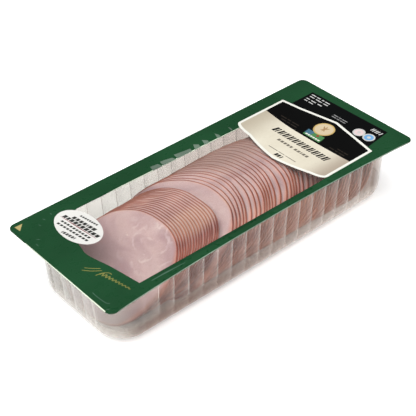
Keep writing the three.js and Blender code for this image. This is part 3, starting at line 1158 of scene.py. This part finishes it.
# %% Lay out the window and the panel
window_left = smooth_line([(-120, -51.6), (-124.4, -24.4), (-129.3, -2.2), (-127.8, 8.9)])
window_top_left = [(-125.5, 22), (-118, 38), (-108, 47), (-103, 48.2)]
window = np.vstack([
    window_left, window_top_left, [(65.6, 45.1), (92, 44), (92, -52), (61, -53.3)],
])
black_panel = np.array([(112, 42.7), (146.2, 42.7), (148, -43.3), (122, -46.5), (112, -46.5)])
film_prints = [(green, lid_outline)]
window_far_edge = [(-108, 47.2), (-60, 47.4), (0, 46.4), (65.6, 45.3)]
# A pale strip along the window's far edge: a painted highlight.
film_prints.append((pale_edge_and_highlight, strip(window_far_edge, 1.1)))
film_prints.append((crease_dark, strip([(-120, -51.7), (-60, -52.2), (0, -52.8), (61, -53.4)], 1.0)))
film_prints.append((clear_window, window))
film_prints.append((panel_black, black_panel))

# %% Add the small print, the badges and the flourish
for x, y_start, y_end, height, shares in (
    (143.2, 40.6, 19.0, 1.1, (4, 1, 3, 1.4, 2, 1, 4)),
    (140.1, 39.8, 18.4, 1.1, (3, 1.2, 4, 1.2, 3)),
    (136.0, 39.9, 21.8, 1.1, (2.4, 1.2, 3.4, 1.5, 3)),
    (132.8, 39.4, 29.3, 1.0, (2, 1, 3)),
    (141.8, -31.6, -41.9, 4.2, (1, 0.8, 1, 1.2, 1, 0.8, 1, 1.6, 1)),
):
    for bar in row_of_bars((x, y_start), (x, y_end), height, shares):
        film_prints.append((white_print, bar))
for x in (131.8, 134.4):
    for bar in row_of_bars((x, 5.4), (x, -10.2), 1.0, (6, 1, 4, 1, 7)):
        film_prints.append((grey_print, bar))

for centre, middle in (((130.7, -27.2), badge_pink), ((131.1, -37.9), badge_blue)):
    film_prints.append((white_print, disc(centre, 5.4)))
    film_prints.append((middle, disc(centre, 4.1)))
    film_prints.append((white_print, disc(centre, 1.6)))

film_prints.append((gold, np.array([(-151.7, 61.0), (-144.9, 60.7), (-151.0, 54.4)])))
flourish = [
    [(-139.6, -11.8), (-136, -16), (-131.1, -20.6)],
    [(-142.4, -12.6), (-138, -18), (-131.7, -23.2)],
    [(-138.5, -24.0), (-133, -25.5), (-129.4, -28.7), (-129.2, -31.3)],
]
for line in flourish:
    film_prints.append((dull_gold, strip(smooth_line(line), 0.7)))
wave_y = np.linspace(-24.5, -52.5, 46)
wave_x = -134.2 + (wave_y + 24.5) * -0.2 + np.sin(wave_y * 2.1) * np.linspace(1.9, 0.5, 46)
film_prints.append((dull_gold, strip(np.column_stack([wave_x, wave_y]), 0.9)))

# %% Add the creases, the seal marks and the edges
for start, end in (
    ((-121.9, 57.1), (-121.9, 55.0)),
    ((-130.1, 55.3), (-129.1, 52.7)),
    ((-136.4, 51.5), (-135.5, 49.1)),
    ((-147.5, 38.1), (-145.1, 35.9)),
    ((-150.3, 33.9), (-150.5, 30.5)),
    ((-154.2, -57.6), (-151.9, -59.0)),
):
    middle = tuple((a + b) / 2 for a, b in zip(start, end))
    film_prints.append((crease_grey, strip([start, middle, end], 0.7)))
corner_crease = [(-150.7, -37.1), (-150.8, -43.5), (-150.4, -49.0), (-149.8, -52.5), (-148.3, -54.7)]
film_prints.append((crease_grey, strip(smooth_line(corner_crease), 0.6)))
film_prints.append((crease_grey, strip([(-112.1, -55.4), (-100.3, -55.5), (-82.1, -56.3)], 1.2)))
film_prints.append((crease_dark, strip([(-118, -53.4), (-30, -54.3), (50, -55.2)], 0.8)))
# Pale patches on the far border: painted reflections of the tray's flutes under the film.
for flute_reflection in (
    ((-29.5, 46.8), (-19.8, 46.7), (-21, 51.4), (-28.2, 52.4)),
    ((-19, 46.7), (-5.8, 46.5), (-7, 50.1), (-14, 52), (-18, 52.4)),
    ((-4.4, 46.5), (11, 46.2), (12, 50), (-1, 52), (-3.4, 52.6)),
    ((14, 46.1), (20, 46.1), (21, 50), (17.6, 53)),
    ((24.6, 46), (29, 46), (30.4, 49.2), (27, 53)),
    ((38.2, 45.8), (42.3, 45.8), (42.5, 49.2), (41, 53)),
    ((54.4, 47), (55.8, 47), (56.4, 50), (55.6, 52.8)),
):
    film_prints.append((flute_reflection_ink, np.array(flute_reflection)))
# A pale line along the lid's near edge: a painted highlight.
straight_half = 150  # from the middle of the near edge to where the lid's corners begin
near_edge_x = np.linspace(-148, straight_half, 30)
near_edge_y = 0.3 - lid_width / 2 + NEAR_SIDE_BOW * (1 - (near_edge_x / straight_half) ** 2)
film_prints.append((near_edge_highlight, strip(np.column_stack([near_edge_x, near_edge_y]), 0.5)))
margin = np.array([(-156, 40), (-156, -59), (-155.2, -59), (-155.7, 40)])
film_prints.append((pale_edge_and_highlight, margin))
print("fields of ink on the film:", len(film_prints))

# %% [markdown]
# ## The film
#
# The film is sealed to the flange all round and is free over the mouth of the tray. Cold
# air inside the sealed pack shrinks and draws it in by a few tenths of a millimetre. That
# slight sag, with a long soft ripple, is enough to bend the lamps' reflections.

# %% Build the film
DEEPEST_SAG = 0.32


def film_sag(x, y):
    """How far the film hangs below its flat level, in mm."""
    across = np.clip(1 - (y / (MOUTH_WIDTH / 2)) ** 2, 0, 1)
    along = np.clip(1 - ((x - MOUTH_SHIFT_X) / (MOUTH_LENGTH / 2)) ** 6, 0, 1)
    ripple = 0.75 + 0.25 * np.sin(x / 19 + 0.6) * np.cos(y / 14)
    return DEEPEST_SAG * across * along * ripple


film = printed_sheet(
    "printed_green_film", lid_outline, film_prints, film_thickness, film_top, sag=film_sag
)
stands_for(film, "lid_film")
print("film faces:", len(film.data.polygons), "in", len(film.data.materials), "inks")

# %% [markdown]
# ## The shield label
#
# The main label is a shield on its side. A white border runs round a cream field, which
# darkens towards its far and near ends, and a slightly curved line parts it from a black
# field. The border is the outline drawn again a little further in. To move an outline
# inwards, each corner slides along the middle of its two edges' normals.

# %% Draw the shield's outline
shield_low, shield_high = (np.array(corner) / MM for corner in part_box("shield_label"))
SHIELD_TIP_Y = -5
SHIELD_LEFT_CORNER_X = 67.5
SHIELD_RIGHT_CORNER_X = 118.5
SHIELD_LEFT_SHOULDER_X = 60
SHIELD_RIGHT_SHOULDER_X = 121
SHIELD_SHOULDER = 36
BORDER_WIDTH = 2.4


def quadratic(start, pull, end, steps=10):
    t = np.linspace(0, 1, steps + 1)[:, None]
    start, pull, end = (np.array(point, dtype=float) for point in (start, pull, end))
    return ((1 - t) ** 2 * start + 2 * t * (1 - t) * pull + t ** 2 * end)[:-1]


def shield_outline():
    left_tip_x, right_tip_x = shield_low[0], shield_high[0]
    near_y, far_y = shield_low[1], shield_high[1]
    tip, left_x, shoulder_x = SHIELD_TIP_Y, SHIELD_LEFT_CORNER_X, SHIELD_LEFT_SHOULDER_X
    bulge = (shoulder_x - left_tip_x) / 4
    low, high = tip - SHIELD_SHOULDER, tip + SHIELD_SHOULDER
    half = SHIELD_SHOULDER / 2
    return np.vstack([
        quadratic((left_tip_x, tip), (left_tip_x + bulge, tip - half), (shoulder_x, low)),
        quadratic((shoulder_x, low), (shoulder_x + bulge, near_y), (left_x, near_y)),
        [(left_x, near_y), (SHIELD_RIGHT_CORNER_X, near_y), (SHIELD_RIGHT_SHOULDER_X, low)],
        [(right_tip_x, tip), (SHIELD_RIGHT_SHOULDER_X, high), (SHIELD_RIGHT_CORNER_X, far_y)],
        quadratic((left_x, far_y), (shoulder_x + bulge, far_y), (shoulder_x, high)),
        quadratic((shoulder_x, high), (left_tip_x + bulge, tip + half), (left_tip_x, tip)),
    ])


# %% Draw the shield's fields
def moved_in(outline, distance):
    """The same outline, further in by a distance. It runs anticlockwise."""
    before = outline - np.roll(outline, 1, axis=0)
    after = np.roll(outline, -1, axis=0) - outline
    normals = []
    for way in (before, after):
        way = way / np.linalg.norm(way, axis=1)[:, None]
        normals.append(np.column_stack([-way[:, 1], way[:, 0]]))
    middle = normals[0] + normals[1]
    middle /= np.linalg.norm(middle, axis=1)[:, None]
    stretch = np.maximum((middle * normals[0]).sum(axis=1), 0.4)
    return outline + middle * (distance / stretch)[:, None]


def right_of_split(outline):
    """The part of the inner field that the curved line leaves to the black."""
    split = smooth_line([(96.7, 52), (93.4, 22), (92.9, -2.2), (93.3, -27), (94.6, -54)])
    split_x = np.interp(outline[:, 1], split[::-1, 1], split[::-1, 0])
    beyond = outline[:, 0] > split_x
    first = int(np.argmax(beyond & ~np.roll(beyond, 1)))
    rolled = np.roll(outline, -first, axis=0)
    kept = rolled[np.roll(beyond, -first)]
    inside = split[(split[:, 1] < kept[-1, 1]) & (split[:, 1] > kept[0, 1])]
    top = [np.interp(kept[-1, 1], split[::-1, 1], split[::-1, 0]), kept[-1, 1]]
    foot = [np.interp(kept[0, 1], split[::-1, 1], split[::-1, 0]), kept[0, 1]]
    return np.vstack([kept, [top], inside, [foot]])


shield = shield_outline()
shield_field = moved_in(shield, BORDER_WIDTH)
shield_black = right_of_split(shield_field)
print("shield outline points:", len(shield), "black field points:", len(shield_black))

# %% [markdown]
# ## Label paper and its inks
#
# The cream field has a printed shading, so its finish reads where a point lies between the
# far and the near end, and turns darker and browner there. The other fields are plain inks
# from the recipe above. The round emblem is a plain cream disc with a gold ring and three
# leaves, over a small two-coloured patch.

# %% The cream finish
def cream_finish():
    finish, tree, shader = new_finish("cream_label_print")
    place = place_on_pack(tree)
    parts = add(tree, "SeparateXYZ", {0: place})
    to_far_end = between(tree, parts.outputs[1], 0.018, 0.05)
    to_near_end = between(tree, parts.outputs[1], -0.028, -0.052)
    fibres = noise(tree, place, 420.0, detail=3.0)
    cloud = noise(tree, place, 35.0, detail=2.0)
    cream = mix_colours(tree, between(tree, cloud, 0.3, 0.7), ink(203, 196, 178), ink(210, 204, 187))
    cream = mix_colours(tree, to_far_end, cream, ink(172, 162, 144))
    cream = mix_colours(tree, to_near_end, cream, ink(160, 147, 132))
    cream = mix_colours(tree, between(tree, fibres, 0.45, 0.9, 0.0, 0.12), cream, ink(150, 138, 118))
    set_inputs(tree, shader, {
        "Base Color": cream,
        "Roughness": between(tree, fibres, 0.3, 0.7, 0.38, 0.5),
        "Normal": bump(tree, fibres, 0.00008, 0.4),
        "Specular IOR Level": 0.3,
    })
    return finish


# %% Mix the inks of the labels
cream = cream_finish()
label_white = printed_ink("label_border", (217, 217, 209), unevenness=0.03, roughness=0.35)
label_black = printed_ink("label_black", (9, 9, 9), roughness=0.35, shine=0.05)
word_black = printed_ink("word_black", (22, 20, 18), roughness=0.4)
word_grey = printed_ink("word_grey", (106, 100, 90), roughness=0.4)
faint_words = printed_ink("faint_words", (48, 42, 36), roughness=0.4)
emblem_cream = printed_ink("emblem_cream", (192, 176, 146), roughness=0.35)
emblem_gold = printed_ink("emblem_gold", (182, 156, 100), roughness=0.35)
emblem_leaf = printed_ink("emblem_leaf", (150, 120, 84), roughness=0.4)
patch_green = printed_ink("patch_green", (70, 122, 74), roughness=0.4)
patch_teal = printed_ink("patch_teal", (66, 104, 124), roughness=0.4)
small_red = printed_ink("small_red", (140, 62, 48), roughness=0.4)
print("nodes in the cream finish:", len(cream.node_tree.nodes))

# %% Lay out the shield's print
shield_prints = [(label_white, shield), (cream, shield_field), (label_black, shield_black)]
title_shares = (2.3, 0.7, 1.3, 1.4) + (1.8, 0.6, 1.2, 1.2) * 9 + (1.8, 0.6, 1.2)
for bar in row_of_bars((83.1, 24.2), (83.1, -37.2), 6.5, title_shares, slant=0.3):
    shield_prints.append((word_black, bar))
subtitle_shares = (3, 1, 3, 1, 2.6, 1, 2.8, 1, 2.6, 3, 2.8, 1, 2.8, 1, 1.5, 1, 2.8, 1, 2.8)
for bar in row_of_bars((74.1, 11), (74.1, -24), 2.6, subtitle_shares, slant=0.2):
    shield_prints.append((word_grey, bar))
for bar in row_of_bars((62.2, 9.4), (62.2, -22), 0.7, (9, 1, 6, 1, 10)):
    shield_prints.append((word_grey, bar))
for bar in row_of_bars((58.2, -2.6), (58.2, -10.2), 3.6, (2.4, 0.6, 2.4, 1.2, 1.2)):
    shield_prints.append((word_black, bar))
for x, y_start, y_end in ((100.4, 34.7, 13.4), (97.2, 31.1, 12.8), (96.8, -26, -42.8), (100, -32, -43.6)):
    for bar in row_of_bars((x, y_start), (x, y_end), 0.8, (5, 1, 3, 1, 6)):
        shield_prints.append((faint_words, bar))
print("fields of ink so far:", len(shield_prints))

# %% Add the emblem and build the label
shield_prints.append((patch_green, np.array([(95.3, 3.4), (95.1, -15.5), (103.7, -14.1), (103.4, 4.5)])))
shield_prints.append((patch_teal, np.array([(97.6, 3.7), (98.2, -2.5), (103.6, -3.2), (103.4, 4.5)])))
for bar in row_of_bars((97.2, 1.8), (97.2, -14), 1.6, (2, 0.7, 2, 0.7, 2, 0.7, 2, 0.7, 2, 0.7, 2)):
    shield_prints.append((label_white, bar))
emblem_centre = (112.0, SHIELD_TIP_Y)
shield_prints.append((emblem_gold, disc(emblem_centre, 9.3)))
shield_prints.append((emblem_cream, disc(emblem_centre, 8.0)))
for angle in (-0.7, 0.0, 0.7):
    tip = np.array([math.cos(angle), math.sin(angle)])
    line = [np.array(emblem_centre) + tip * reach for reach in (-3.2, -1.2, 1.2, 3.2, 4.6)]
    shield_prints.append((emblem_leaf, strip(line, 1.2)))
shield_prints.append((small_red, disc((101.3, -8.1), 1.4, points=20)))

label_thickness = shield_high[2] - shield_low[2]
shield_label = printed_sheet(
    "shield_paper_label", shield, shield_prints, label_thickness, shield_high[2]
)
stands_for(shield_label, "shield_label")
print("shield faces:", len(shield_label.data.polygons), "in", len(shield_label.data.materials), "inks")

# %% [markdown]
# ## The oval label
#
# A small white oval sticker covers the left end of the window. It carries rows of dark
# print that run a few degrees off the pack's own direction, and one dark red line. It
# stands a hair above the film, so a real shadow runs round its edge.

# %% Build the oval label
oval_low, oval_high = (np.array(corner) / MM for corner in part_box("oval_label"))
oval_centre = (oval_low + oval_high) / 2
oval_half_length = (oval_high[0] - oval_low[0]) / 2
oval_stretch = (oval_high[1] - oval_low[1]) / (oval_high[0] - oval_low[0])
oval_outline = disc(oval_centre[:2], oval_half_length, points=72, stretch=oval_stretch)
oval_white = printed_ink("oval_white", (206, 205, 201), unevenness=0.03, roughness=0.35)
oval_dark = printed_ink("oval_words", (46, 46, 44), roughness=0.4)
oval_red = printed_ink("oval_red_line", (122, 48, 56), roughness=0.4)
oval_prints = [(oval_white, oval_outline)]
even_words = (2, 0.8) * 9 + (2,)
for start, end, height, shares in (
    ((-106.6, 38.6), (-103.8, 20.5), 1.7, even_words[:15]),
    ((-111.8, 41.1), (-108.4, 16.6), 3.0, (3, 0.8, 3, 0.8, 3, 0.8, 3, 0.8, 1.2, 0.8, 3, 0.8, 3.4)),
    ((-116.0, 47.2), (-111.4, 8.6), 3.2, (3, 0.8, 2.4, 0.8, 3, 0.8) * 3 + (3,)),
    ((-120.9, 43.5), (-117.0, 12.1), 1.9, even_words),
    ((-124.6, 43.4), (-120.2, 10.6), 1.9, even_words),
    ((-128.0, 32.4), (-125.6, 19.0), 2.4, (1, 0.8, 2.4, 0.8, 2.4, 0.8, 2.4, 0.8, 2.4, 0.8, 1)),
):
    for bar in row_of_bars(start, end, height, shares):
        oval_prints.append((oval_dark, bar))
oval_prints.append((oval_red, strip([(-118.2, 48.4), (-116.1, 28.5), (-113.9, 8.4)], 0.9)))
oval_label = printed_sheet(
    "oval_paper_label", oval_outline, oval_prints, oval_high[2] - oval_low[2], oval_high[2]
)
stands_for(oval_label, "oval_label")
print("oval faces:", len(oval_label.data.polygons), "in", len(oval_label.data.materials), "inks")
